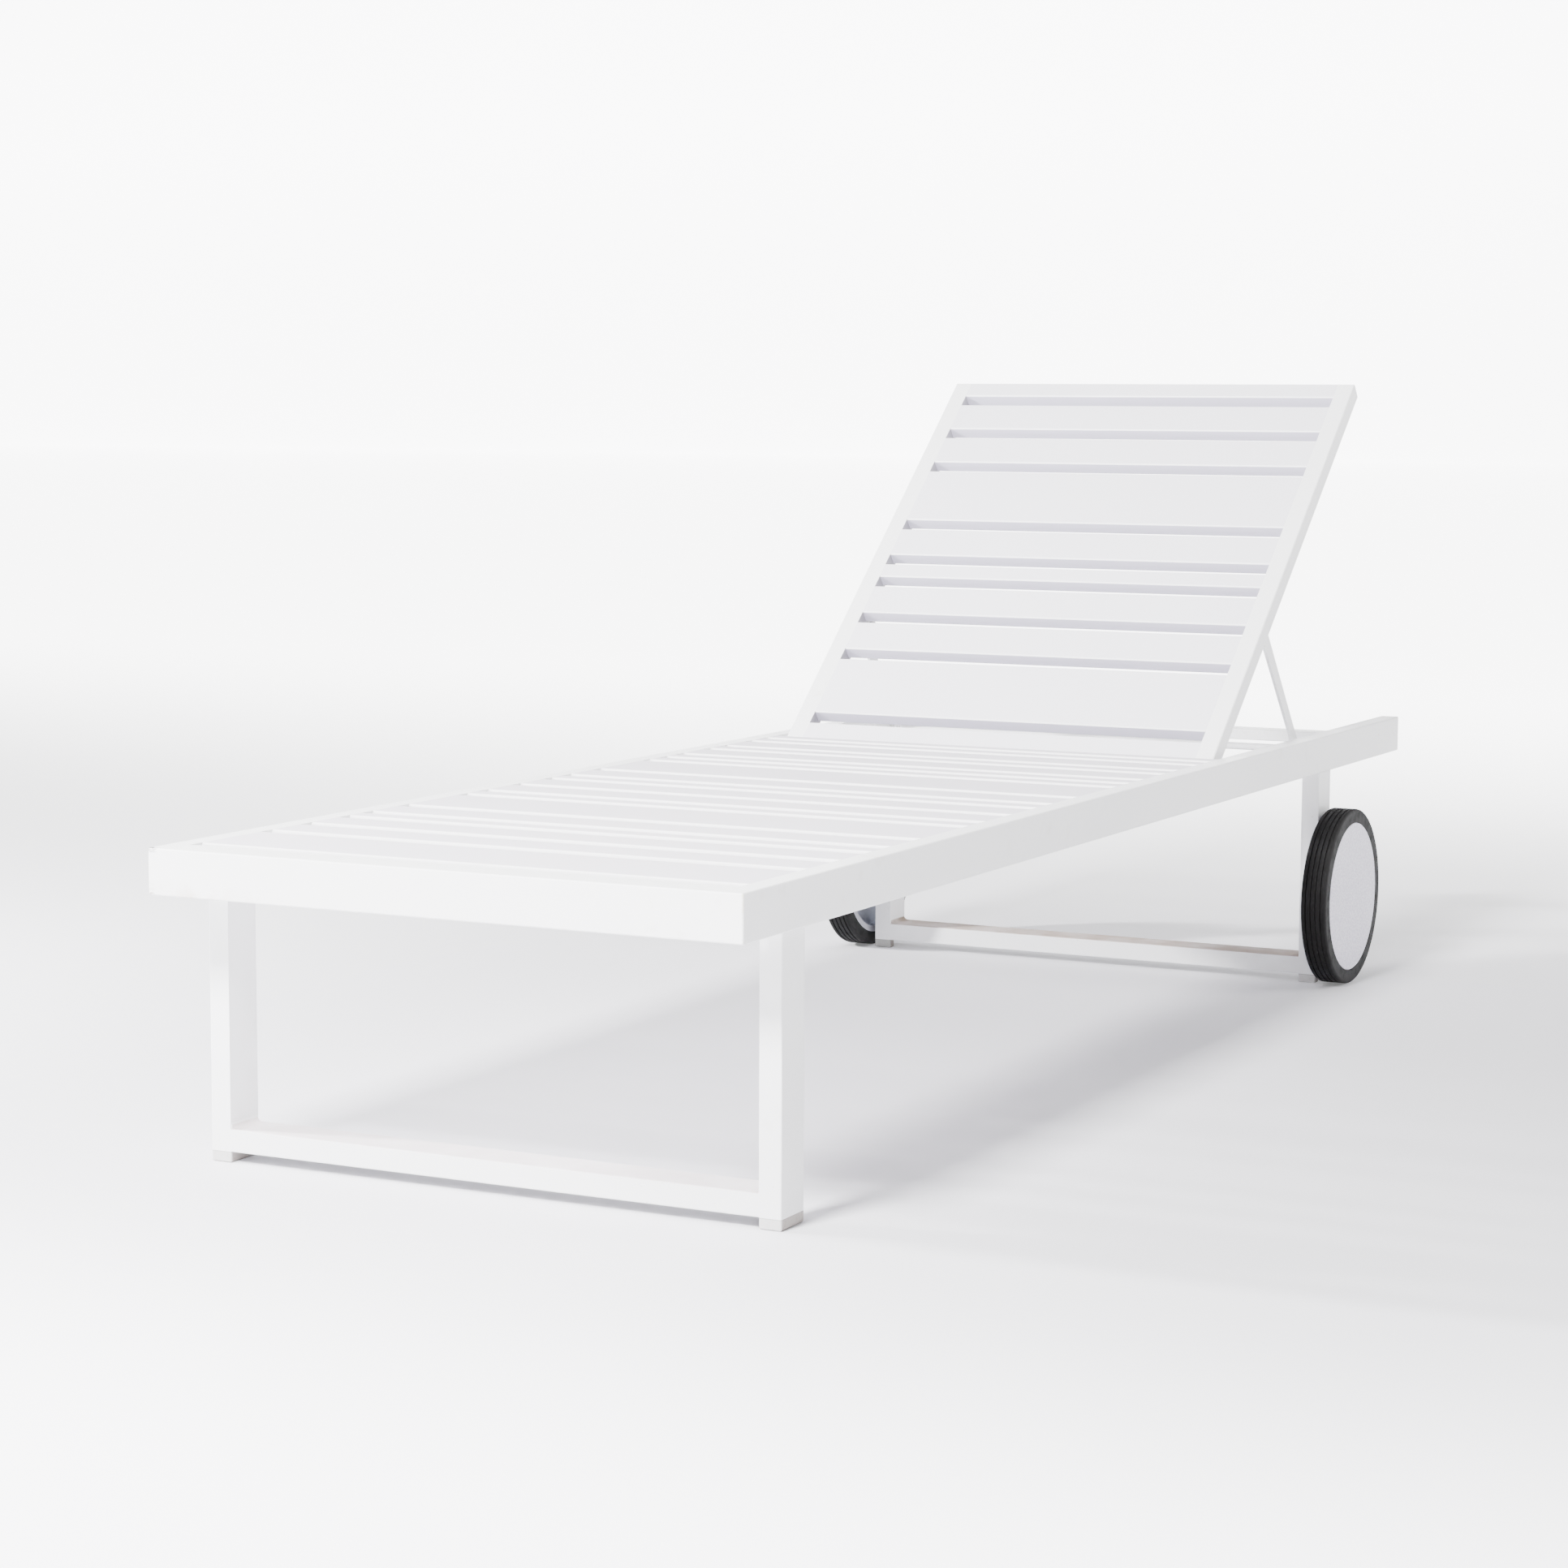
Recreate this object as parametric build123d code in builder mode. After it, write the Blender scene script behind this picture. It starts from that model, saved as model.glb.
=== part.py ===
"""Reclining sun lounger of white powder-coated aluminium tube, with two wheels at the head end.

Millimetres, +Z up, +X to the right seen from the foot end, +Y from the foot end to the head end.
The origin is on the floor, below the middle of the frame. The backrest stands at its photographed angle.
"""
import os
from math import cos, hypot, radians, sin, sqrt

from build123d import *

os.makedirs("parts", exist_ok=True)

# Overall sizes of the frame
frame_length = 2100.0
frame_width = 700.0
seat_height = 350.0

# Frame tubes: rails stand on edge, legs and stretchers are the same tube
rail_width = 25.0
rail_height = 50.0
foot_rail_depth = 40.0
leg_width = 25.0
leg_depth = 50.0
stretcher_height = 25.0
stretcher_depth = 50.0
tube_wall = 2.0
tube_corner = 2.0
leg_corner = 1.5
weld_radius = 7.0
drain_diameter = 6.0
drain_spacing = 500.0

# Places of the leg frames
front_leg_setback = 95.0
rear_leg_setback = 1752.0
leg_inset = 6.5
leg_top_plate = 3.0

# Plastic feet and rail caps
foot_height = 12.0
foot_edge = 1.5
rear_foot_depth = 14.0
plug_depth = 15.0
plug_clearance = 0.2
cap_thickness = 3.0
cap_edge = 1.0

# Slats: three extruded widths, with an even gap between them
slat_thickness = 20.0
slat_wall = 1.5
slat_corner = 2.0
slat_gap = 20.5
narrow_slat = 26.0
medium_slat = 54.0
wide_slat = 106.0
slat_width = {"N": narrow_slat, "M": medium_slat, "W": wide_slat}
seat_order = "WMMNMWNMMNMWNNMNMNN"
back_order = "WMMNMWMM"

# Backrest frame, between the side rails
back_angle = 40.9
back_side_gap = 11.0
stile_width = 25.0
back_thickness = 25.0
bottom_rail_width = 40.0
top_rail_width = 28.0
hinge_inset = 8.0
hinge_swing_clearance = 2.4

# Hinge pins
pin_diameter = 10.0
pin_collar_diameter = 18.0
pin_reach_in_rail = 8.0
pin_end_gap = 3.0
running_clearance = 0.05
end_clearance = 0.3

# Prop: two tapered straps and a cross rod that drops into notched racks
rod_diameter = 10.0
prop_pivot_along = 260.0
prop_pivot_below = 11.0
prop_reach = 139.4
prop_rod_drop = 19.8
prop_arm_inset = 7.0
strap_thickness = 4.0
strap_top_radius = 10.0
strap_foot_radius = 8.0
lug_thickness = 5.0
lug_radius = 10.0
lug_stub = 3.0
rod_chamfer = 1.0
rack_thickness = 5.0
rack_angles = (53.0, 48.0, 30.0, 20.0)
rack_notch_lean = 25.0
rack_tooth = 10.0
rack_foot = 19.0
rack_end = 22.0
rack_corner = 4.0
notch_clearance = 0.4
rod_end_clearance = 0.4

# Head cross rail, which the flat backrest lies on
cross_rail_depth = 40.0
cross_rail_height = 16.0
cross_rail_drop = 25.5
cross_rail_end_gap = 5.0

# Wheels outside the rear legs
wheel_radius = 123.0
wheel_width = 36.0
wheel_lift = 1.0
wheel_gap = 8.5
tyre_thickness = 19.0
tyre_shoulder = 3.5
shoulder_steps = 3
groove_count = 4
groove_width = 2.4
groove_depth = 1.6
groove_pitch = 7.0
rim_wall = 5.0
rim_lip = 8.5
rim_lip_thickness = 3.0
web_thickness = 4.0
web_recess = 20.0
hub_radius = 20.0
rib_count = 6
rib_thickness = 4.0
rib_height = 8.0
cover_thickness = 2.5
cover_edge = 1.0
cover_clearance = 0.3
axle_diameter = 12.0
axle_bolt_clearance = 0.1
axle_head_diameter = 24.0
axle_head_thickness = 5.0
axle_head_gap = 2.5
insert_diameter = 16.0
insert_length = 14.0
insert_flange_diameter = 20.0
insert_flange_thickness = 1.2
spacer_diameter = 26.0

# Places worked out from the sizes above
foot_end = -frame_length / 2
head_end = frame_length / 2
half_width = frame_width / 2
rail_inside = half_width - rail_width
rail_bottom = seat_height - rail_height
rail_middle = seat_height - rail_height / 2
leg_outside = half_width - leg_inset
leg_inside = leg_outside - leg_width
leg_middle = leg_outside - leg_width / 2
leg_length = rail_bottom - foot_height
front_leg_y = foot_end + front_leg_setback + leg_depth / 2
rear_leg_y = foot_end + rear_leg_setback + leg_depth / 2
seat_start = foot_end + foot_rail_depth
seat_slats = [slat_width[kind] for kind in seat_order]
seat_end = seat_start + sum(seat_slats) + slat_gap * len(seat_slats)
slat_middle = seat_height - slat_thickness / 2

# The backrest turns about a line in the middle of its thickness
back_middle = back_thickness / 2
hinge_y = seat_end + hypot(hinge_inset, back_middle) + hinge_swing_clearance
hinge_z = seat_height - back_middle
stile_outside = rail_inside - back_side_gap
stile_inside = stile_outside - stile_width
back_slats = [slat_width[kind] for kind in back_order]
back_length = bottom_rail_width + sum(back_slats) + slat_gap * (len(back_slats) + 1) + top_rail_width
along = Vector(0, cos(radians(back_angle)), sin(radians(back_angle)))
back = Plane(origin=(0, hinge_y, hinge_z), x_dir=along, z_dir=(1, 0, 0))

# The prop hangs from lugs below the stiles, and its cross rod lies at the height of the racks
pivot_normal = -back_middle - prop_pivot_below
pivot = back.from_local_coords(Vector(prop_pivot_along, pivot_normal, 0))
rod_y = pivot.Y + prop_reach
rod_z = seat_height - prop_rod_drop
arm_length = hypot(prop_reach, pivot.Z - rod_z)
prop_arm_x = stile_outside - prop_arm_inset
rack_inside = rail_inside - rack_thickness
prop_rod_half = rack_inside - rod_end_clearance

# The wheels turn on bolts through the middle of the rear legs
axle_y = rear_leg_y
axle_z = wheel_radius + wheel_lift
wheel_inside = leg_outside + wheel_gap
wheel_outside = wheel_inside + wheel_width
tyre_seat = wheel_radius - tyre_thickness
rim_outside = wheel_outside - cover_thickness
head_outside = rim_outside - axle_head_gap
head_inside = head_outside - axle_head_thickness
hub_outside = head_inside - end_clearance
axle_tip = leg_inside

sides = {"left": -1, "right": 1}


def side_plane(side, x):
    """A plane facing outwards on one side, with its own X along +Y and its own Y along +Z or -Z."""
    return Plane(origin=(side * x, 0, 0), x_dir=(0, 1, 0), z_dir=(side, 0, 0))


def rod_place(angle):
    """Where the cross rod meets the racks, along Y, when the backrest stands at this angle."""
    lift = Vector(0, cos(radians(angle)), sin(radians(angle)))
    turned = Plane(origin=(0, hinge_y, hinge_z), x_dir=lift, z_dir=(1, 0, 0))
    top = turned.from_local_coords(Vector(prop_pivot_along, pivot_normal, 0))
    return top.Y + sqrt(max(arm_length**2 - (top.Z - rod_z) ** 2, 0))


def finish(part, name):
    """Name a finished piece and write it."""
    part.label = name
    export_step(part, f"parts/{name}.step")


# Foot rail: a tube across the foot end, closed by welded plates, ground round at the ends and drained below
foot_rail_y = foot_end + foot_rail_depth / 2
with BuildPart() as foot_rail:
    with Locations((0, foot_rail_y, rail_middle)):
        Box(frame_width, foot_rail_depth, rail_height)
        front_edges, end_edges, welded_edges = foot_rail.edges().group_by(Axis.Y)
        fillet(front_edges + end_edges, tube_corner)
        Box(
            frame_width - 2 * tube_wall,
            foot_rail_depth - 2 * tube_wall,
            rail_height - 2 * tube_wall,
            mode=Mode.SUBTRACT,
        )
    with BuildSketch(Plane.XY.offset(rail_bottom)):
        with Locations((0, foot_rail_y)):
            with GridLocations(drain_spacing, 1, 2, 1):
                Circle(drain_diameter / 2)
    extrude(amount=tube_wall, mode=Mode.SUBTRACT)
finish(foot_rail.part, "foot_rail")

# Side rails: tubes on edge, welded to the back of the foot rail, with a square edge where the slats are
# welded flush, and open at the head end, where a cap closes them
for name, side in sides.items():
    with BuildPart() as side_rail:
        with BuildSketch(Plane.XZ.offset(-seat_start)):
            with Locations((side * (half_width - rail_width / 2), rail_middle)):
                RectangleRounded(rail_width, rail_height, tube_corner)
            with Locations((side * (rail_inside + tube_corner / 2), seat_height - tube_corner / 2)):
                Rectangle(tube_corner, tube_corner)
            with Locations((side * (half_width - rail_width / 2), rail_middle)):
                Rectangle(rail_width - 2 * tube_wall, rail_height - 2 * tube_wall, mode=Mode.SUBTRACT)
        extrude(amount=-(frame_length - foot_rail_depth - cap_thickness))
        with BuildSketch(side_plane(side, rail_inside)):
            with Locations((hinge_y, side * hinge_z)):
                Circle(pin_diameter / 2 + running_clearance)
        extrude(amount=tube_wall, mode=Mode.SUBTRACT)
    finish(side_rail.part, f"{name}_side_rail")

# Rail end caps: two white plastic plugs in the open head ends of the side rails
with BuildPart() as rail_end_caps:
    for side in sides.values():
        cap_centre = (side * (half_width - rail_width / 2), rail_middle)
        with BuildSketch(Plane.XZ.offset(-(head_end - cap_thickness))):
            with Locations(cap_centre):
                RectangleRounded(rail_width, rail_height, tube_corner)
        extrude(amount=-cap_thickness)
        with BuildSketch(Plane.XZ.offset(-(head_end - cap_thickness))):
            with Locations(cap_centre):
                Rectangle(
                    rail_width - 2 * (tube_wall + plug_clearance),
                    rail_height - 2 * (tube_wall + plug_clearance),
                )
        extrude(amount=plug_depth)
    cap_rims = rail_end_caps.faces().group_by(Axis.Y)[-1].edges()
    chamfer(cap_rims, cap_edge)
finish(rail_end_caps.part, "rail_end_caps")

# Head cross rail: a low flat tube between the side rails
with BuildPart() as head_cross_rail:
    with BuildSketch(Plane.YZ.offset(-rail_inside)):
        with Locations(
            (
                head_end - cross_rail_end_gap - cross_rail_depth / 2,
                seat_height - cross_rail_drop - cross_rail_height / 2,
            )
        ):
            RectangleRounded(cross_rail_depth, cross_rail_height, slat_corner)
            Rectangle(cross_rail_depth - 2 * slat_wall, cross_rail_height - 2 * slat_wall, mode=Mode.SUBTRACT)
    extrude(amount=2 * rail_inside)
finish(head_cross_rail.part, "head_cross_rail")

# Seat slats: flat hollow extrusions flush with the rails, in the uneven order of the photograph
slat_start = seat_start
for number, width in enumerate(seat_slats, start=1):
    slat_start += slat_gap
    with BuildPart() as seat_slat:
        with BuildSketch(Plane.YZ.offset(-rail_inside)):
            with Locations((slat_start + width / 2, slat_middle)):
                RectangleRounded(width, slat_thickness, slat_corner)
                Rectangle(width - 2 * slat_wall, slat_thickness - 2 * slat_wall, mode=Mode.SUBTRACT)
        extrude(amount=2 * rail_inside)
    finish(seat_slat.part, f"seat_slat_{number:02d}")
    slat_start += width

# Legs: upright tubes with a plate on top, bolted below the rails, and open below for the foot's plug
for row, leg_y in {"front": front_leg_y, "rear": rear_leg_y}.items():
    for name, side in sides.items():
        with BuildPart() as leg:
            with BuildSketch(Plane.XY.offset(foot_height)):
                with Locations((side * leg_middle, leg_y)):
                    RectangleRounded(leg_width, leg_depth, leg_corner)
                with Locations((side * (leg_inside + leg_corner), leg_y)):
                    Rectangle(2 * leg_corner, leg_depth)
            extrude(amount=leg_length)
            with BuildSketch(Plane.XY.offset(foot_height)):
                with Locations((side * leg_middle, leg_y)):
                    Rectangle(leg_width - 2 * tube_wall, leg_depth - 2 * tube_wall)
            extrude(amount=leg_length - leg_top_plate, mode=Mode.SUBTRACT)
            if row == "rear":
                with BuildSketch(side_plane(side, leg_inside)):
                    with Locations((axle_y, side * axle_z)):
                        Circle(axle_diameter / 2 + axle_bolt_clearance)
                extrude(amount=leg_width, mode=Mode.SUBTRACT)
                with BuildSketch(side_plane(side, leg_inside)):
                    with Locations((axle_y, side * axle_z)):
                        Circle(insert_diameter / 2 + axle_bolt_clearance)
                extrude(amount=tube_wall, mode=Mode.SUBTRACT)
        finish(leg.part, f"{row}_{name}_leg")

# Stretchers: tubes laid flat between the feet of each pair of legs, with round welds in the corners
for row, leg_y in {"front": front_leg_y, "rear": rear_leg_y}.items():
    stretcher_top = foot_height + stretcher_height
    with BuildPart() as stretcher:
        with BuildSketch(Plane.YZ.offset(-leg_inside)):
            with Locations((leg_y, foot_height + stretcher_height / 2)):
                RectangleRounded(stretcher_depth, stretcher_height, leg_corner)
                Rectangle(
                    stretcher_depth - 2 * tube_wall,
                    stretcher_height - 2 * tube_wall,
                    mode=Mode.SUBTRACT,
                )
        extrude(amount=2 * leg_inside)
        for side in sides.values():
            weld_x = side * (leg_inside - weld_radius)
            with BuildSketch(Plane.XZ.offset(-leg_y)):
                with BuildLine():
                    Line((weld_x, stretcher_top), (side * leg_inside, stretcher_top))
                    Line((side * leg_inside, stretcher_top), (side * leg_inside, stretcher_top + weld_radius))
                    RadiusArc(
                        (side * leg_inside, stretcher_top + weld_radius),
                        (weld_x, stretcher_top),
                        side * weld_radius,
                    )
                make_face()
            extrude(amount=stretcher_depth / 2 - leg_corner, both=True)
    finish(stretcher.part, f"{row}_stretcher")

# Feet: plastic blocks plugged into the legs; the rear ones are short, so that the lounger tips onto its wheels
for row, leg_y in {"front": front_leg_y, "rear": rear_leg_y}.items():
    pad_depth = leg_depth if row == "front" else rear_foot_depth
    pad_y = leg_y - leg_depth / 2 + pad_depth / 2
    for name, side in sides.items():
        with BuildPart() as foot:
            with BuildSketch():
                with Locations((side * leg_middle, pad_y)):
                    RectangleRounded(leg_width, pad_depth, leg_corner)
            extrude(amount=foot_height)
            chamfer(foot.faces().sort_by(Axis.Z)[0].edges(), foot_edge)
            with BuildSketch(Plane.XY.offset(foot_height)):
                with Locations((side * leg_middle, leg_y)):
                    Rectangle(
                        leg_width - 2 * (tube_wall + plug_clearance),
                        leg_depth - 2 * (tube_wall + plug_clearance),
                    )
            extrude(amount=plug_depth)
        finish(foot.part, f"{row}_{name}_foot")

# Hinge pins: two turned stubs with a collar that keeps the backrest clear of the rails
with BuildPart() as hinge_pins:
    for side in sides.values():
        with BuildSketch(Plane(origin=(0, hinge_y, hinge_z), x_dir=(side, 0, 0), z_dir=(0, -side, 0))):
            with BuildLine():
                Polyline(
                    (stile_inside + pin_end_gap, 0),
                    (stile_inside + pin_end_gap, pin_diameter / 2),
                    (stile_outside + end_clearance, pin_diameter / 2),
                    (stile_outside + end_clearance, pin_collar_diameter / 2),
                    (rail_inside, pin_collar_diameter / 2),
                    (rail_inside, pin_diameter / 2),
                    (rail_inside + pin_reach_in_rail, pin_diameter / 2),
                    (rail_inside + pin_reach_in_rail, 0),
                    close=True,
                )
            make_face()
        revolve(axis=Axis((0, hinge_y, hinge_z), (1, 0, 0)))
finish(hinge_pins.part, "hinge_pins")

# Racks: notched plates inside the side rails, which take the ends of the prop's cross rod
notch_places = sorted(rod_place(angle) for angle in (*rack_angles, back_angle))
notch_width = rod_diameter + 2 * notch_clearance
rack_start = notch_places[0] - rack_end
rack_length = notch_places[-1] + rack_end - rack_start
rack_top = rod_z + rack_tooth
rack_bottom = rod_z - rod_diameter / 2 - rack_foot
for name, side in sides.items():
    with BuildPart() as rack:
        with BuildSketch(Plane.YZ.offset(side * rail_inside)):
            with Locations((rack_start + rack_length / 2, (rack_top + rack_bottom) / 2)):
                RectangleRounded(rack_length, rack_top - rack_bottom, rack_corner)
            for place in notch_places:
                with Locations(Location((place, rod_z, 0), (0, 0, rack_notch_lean))):
                    Circle(notch_width / 2, mode=Mode.SUBTRACT)
                    Rectangle(
                        notch_width,
                        2 * rack_tooth,
                        align=(Align.CENTER, Align.MIN),
                        mode=Mode.SUBTRACT,
                    )
        extrude(amount=-side * rack_thickness)
    finish(rack.part, f"{name}_rack")

# Backrest stiles: closed square tubes up both sides of the backrest, with a square edge for the slats,
# bored for the hinge pins
for name, side in sides.items():
    stile_middle = side * (stile_outside - stile_width / 2)
    stile_foot = back.from_local_coords(Vector(-hinge_inset, 0, stile_middle))
    stile_core = back.from_local_coords(Vector(tube_wall - hinge_inset, 0, stile_middle))
    with BuildPart() as stile:
        with BuildSketch(Plane(origin=stile_foot, x_dir=(1, 0, 0), z_dir=along)):
            RectangleRounded(stile_width, back_thickness, tube_corner)
            with Locations((-side * (stile_width - tube_corner) / 2, -(back_thickness - tube_corner) / 2)):
                Rectangle(tube_corner, tube_corner)
        extrude(amount=back_length)
        with BuildSketch(Plane(origin=stile_core, x_dir=(1, 0, 0), z_dir=along)):
            Rectangle(stile_width - 2 * tube_wall, back_thickness - 2 * tube_wall)
        extrude(amount=back_length - 2 * tube_wall, mode=Mode.SUBTRACT)
        with BuildSketch(back.offset(side * stile_inside)):
            Circle(pin_diameter / 2 + running_clearance)
        extrude(amount=side * stile_width, mode=Mode.SUBTRACT)
    finish(stile.part, f"{name}_stile")

# Backrest end rails: the bottom one lies on the hinge line, the top one closes the frame; both are rounded
# towards the slats and square at the ends of the stiles
end_rails = {
    "back_bottom_rail": (bottom_rail_width / 2 - hinge_inset, bottom_rail_width, -1),
    "back_top_rail": (back_length - top_rail_width / 2 - hinge_inset, top_rail_width, 1),
}
for name, (place, width, end) in end_rails.items():
    with BuildPart() as end_rail:
        with BuildSketch(back.offset(-stile_inside)):
            with Locations((place, 0)):
                RectangleRounded(width, back_thickness, slat_corner)
            with Locations((place + end * (width / 2 - slat_corner), 0)):
                Rectangle(2 * slat_corner, back_thickness)
            with Locations((place, 0)):
                Rectangle(width - 2 * tube_wall, back_thickness - 2 * tube_wall, mode=Mode.SUBTRACT)
        extrude(amount=2 * stile_inside)
    finish(end_rail.part, name)

# Backrest slats: the same three extrusions, flush with the face of the stiles
slat_start = bottom_rail_width - hinge_inset
for number, width in enumerate(back_slats, start=1):
    slat_start += slat_gap
    with BuildPart() as back_slat:
        with BuildSketch(back.offset(-stile_inside)):
            with Locations((slat_start + width / 2, back_middle - slat_thickness / 2)):
                RectangleRounded(width, slat_thickness, slat_corner)
                Rectangle(width - 2 * slat_wall, slat_thickness - 2 * slat_wall, mode=Mode.SUBTRACT)
        extrude(amount=2 * stile_inside)
    finish(back_slat.part, f"back_slat_{number:02d}")
    slat_start += width

# Prop lugs: two rounded ears welded below the stiles, bored for the pins of the prop
with BuildPart() as prop_lugs:
    for side in sides.values():
        with BuildSketch(back.offset(side * stile_inside)):
            with Locations((prop_pivot_along, pivot_normal)):
                Circle(lug_radius)
                Rectangle(2 * lug_radius, prop_pivot_below, align=(Align.CENTER, Align.MIN))
                Circle(rod_diameter / 2 + running_clearance, mode=Mode.SUBTRACT)
        extrude(amount=side * lug_thickness)
finish(prop_lugs.part, "prop_lugs")

# Prop arms: flat straps that taper towards the cross rod, each with a pin at the top that turns in its lug
stub_end = stile_inside - lug_stub
strap_inside = prop_arm_x - strap_thickness / 2
for name, side in sides.items():
    with BuildPart() as prop_arm:
        with BuildSketch(Plane.YZ.offset(side * strap_inside)):
            with Locations((pivot.Y, pivot.Z)):
                Circle(strap_top_radius)
            with Locations((rod_y, rod_z)):
                Circle(strap_foot_radius)
            make_hull()
            with Locations((rod_y, rod_z)):
                Circle(rod_diameter / 2, mode=Mode.SUBTRACT)
        extrude(amount=side * strap_thickness)
        with BuildSketch(Plane.YZ.offset(side * stub_end)):
            with Locations((pivot.Y, pivot.Z)):
                Circle(rod_diameter / 2)
        extrude(amount=side * (strap_inside - stub_end))
        stub_edge = prop_arm.edges().filter_by(GeomType.CIRCLE).sort_by(Axis.X)[0 if side > 0 else -1]
        chamfer(stub_edge, rod_chamfer)
    finish(prop_arm.part, f"{name}_prop_arm")

# Prop cross rod: welded through the straps, with its ends at the notches of the racks
with BuildPart() as prop_cross_rod:
    with BuildSketch(Plane.YZ.offset(-prop_rod_half)):
        with Locations((rod_y, rod_z)):
            Circle(rod_diameter / 2)
    extrude(amount=2 * prop_rod_half)
    chamfer(prop_cross_rod.edges().filter_by(GeomType.CIRCLE), rod_chamfer)
finish(prop_cross_rod.part, "prop_cross_rod")

# Axle fittings: a bolt through each wheel, a spacer before the leg and a flanged insert that the bolt screws into
axle_axis = Axis((0, axle_y, axle_z), (1, 0, 0))
with BuildPart() as axle_fittings:
    for side in sides.values():
        with BuildSketch(Plane(origin=(0, axle_y, axle_z), x_dir=(side, 0, 0), z_dir=(0, -side, 0))):
            with BuildLine():
                Polyline(
                    (axle_tip, 0),
                    (axle_tip, axle_diameter / 2),
                    (head_inside, axle_diameter / 2),
                    (head_inside, axle_head_diameter / 2),
                    (head_outside, axle_head_diameter / 2),
                    (head_outside, 0),
                    close=True,
                )
            make_face()
        revolve(axis=axle_axis)
        with BuildSketch(side_plane(side, leg_outside)):
            with Locations((axle_y, side * axle_z)):
                Circle(spacer_diameter / 2)
                Circle(axle_diameter / 2 + axle_bolt_clearance, mode=Mode.SUBTRACT)
        extrude(amount=wheel_gap - end_clearance)
        with BuildSketch(side_plane(side, leg_inside)):
            with Locations((axle_y, side * axle_z)):
                Circle(insert_flange_diameter / 2)
                Circle(axle_diameter / 2 + axle_bolt_clearance, mode=Mode.SUBTRACT)
        extrude(amount=-insert_flange_thickness)
        with BuildSketch(side_plane(side, leg_inside)):
            with Locations((axle_y, side * axle_z)):
                Circle(insert_diameter / 2)
                Circle(axle_diameter / 2 + axle_bolt_clearance, mode=Mode.SUBTRACT)
        extrude(amount=insert_length)
finish(axle_fittings.part, "axle_fittings")

# Wheels: a grooved rubber tyre with a tight shoulder on a moulded rim, with a flat cover disc outside
for name, side in sides.items():
    wheel_plane = Plane(origin=(0, axle_y, axle_z), x_dir=(side, 0, 0), z_dir=(0, -side, 0))
    wheel_middle = (wheel_inside + wheel_outside) / 2
    shoulder = [
        (tyre_shoulder * (1 - cos(turn)), tyre_shoulder * (1 - sin(turn)))
        for turn in (radians(90 * step / shoulder_steps) for step in range(shoulder_steps + 1))
    ]
    tread = []
    for groove in range(groove_count):
        groove_x = wheel_middle + groove_pitch * (groove - (groove_count - 1) / 2)
        tread += [
            (groove_x - groove_width / 2, wheel_radius),
            (groove_x - groove_width / 4, wheel_radius - groove_depth),
            (groove_x + groove_width / 4, wheel_radius - groove_depth),
            (groove_x + groove_width / 2, wheel_radius),
        ]
    with BuildPart() as tyre:
        with BuildSketch(wheel_plane):
            with BuildLine():
                Polyline(
                    (wheel_inside, tyre_seat),
                    *((wheel_inside + x, wheel_radius - y) for x, y in shoulder),
                    *tread,
                    *((wheel_outside - x, wheel_radius - y) for x, y in reversed(shoulder)),
                    (wheel_outside, tyre_seat),
                    close=True,
                )
            make_face()
        revolve(axis=axle_axis)
    finish(tyre.part, f"{name}_tyre")

    with BuildPart() as rim:
        with BuildSketch(wheel_plane):
            with BuildLine():
                Polyline(
                    (wheel_inside, axle_diameter / 2 + running_clearance),
                    (wheel_inside, hub_radius),
                    (wheel_inside + web_recess, hub_radius),
                    (wheel_inside + web_recess, tyre_seat - rim_wall),
                    (wheel_inside + rim_lip_thickness, tyre_seat - rim_wall),
                    (wheel_inside + rim_lip_thickness, tyre_seat - rim_lip),
                    (wheel_inside, tyre_seat - rim_lip),
                    (wheel_inside, tyre_seat),
                    (rim_outside, tyre_seat),
                    (rim_outside, tyre_seat - rim_wall),
                    (wheel_inside + web_recess + web_thickness, tyre_seat - rim_wall),
                    (wheel_inside + web_recess + web_thickness, hub_radius),
                    (hub_outside, hub_radius),
                    (hub_outside, axle_diameter / 2 + running_clearance),
                    close=True,
                )
            make_face()
        revolve(axis=axle_axis)
        rib_plane = Plane(
            origin=(side * (wheel_inside + web_recess - rib_height), axle_y, axle_z),
            x_dir=(0, 1, 0),
            z_dir=(side, 0, 0),
        )
        rib_length = tyre_seat - rim_wall - hub_radius
        with BuildSketch(rib_plane):
            with PolarLocations(hub_radius + rib_length / 2, rib_count):
                Rectangle(rib_length + rim_wall, rib_thickness)
        extrude(amount=rib_height + web_thickness / 2)
    finish(rim.part, f"{name}_rim")

    with BuildPart() as wheel_cover:
        with BuildSketch(wheel_plane):
            with BuildLine():
                Polyline(
                    (rim_outside, 0),
                    (rim_outside, tyre_seat - cover_clearance),
                    (wheel_outside - cover_edge, tyre_seat - cover_clearance),
                    (wheel_outside, tyre_seat - cover_clearance - cover_edge),
                    (wheel_outside, 0),
                    close=True,
                )
            make_face()
        revolve(axis=axle_axis)
    finish(wheel_cover.part, f"{name}_wheel_cover")
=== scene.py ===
"""Looks of a reclining sun lounger: white coated aluminium tube, off-white plastic feet and two rubber-tyred wheels."""
import math

import bpy
from mathutils import Matrix, Vector


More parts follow.
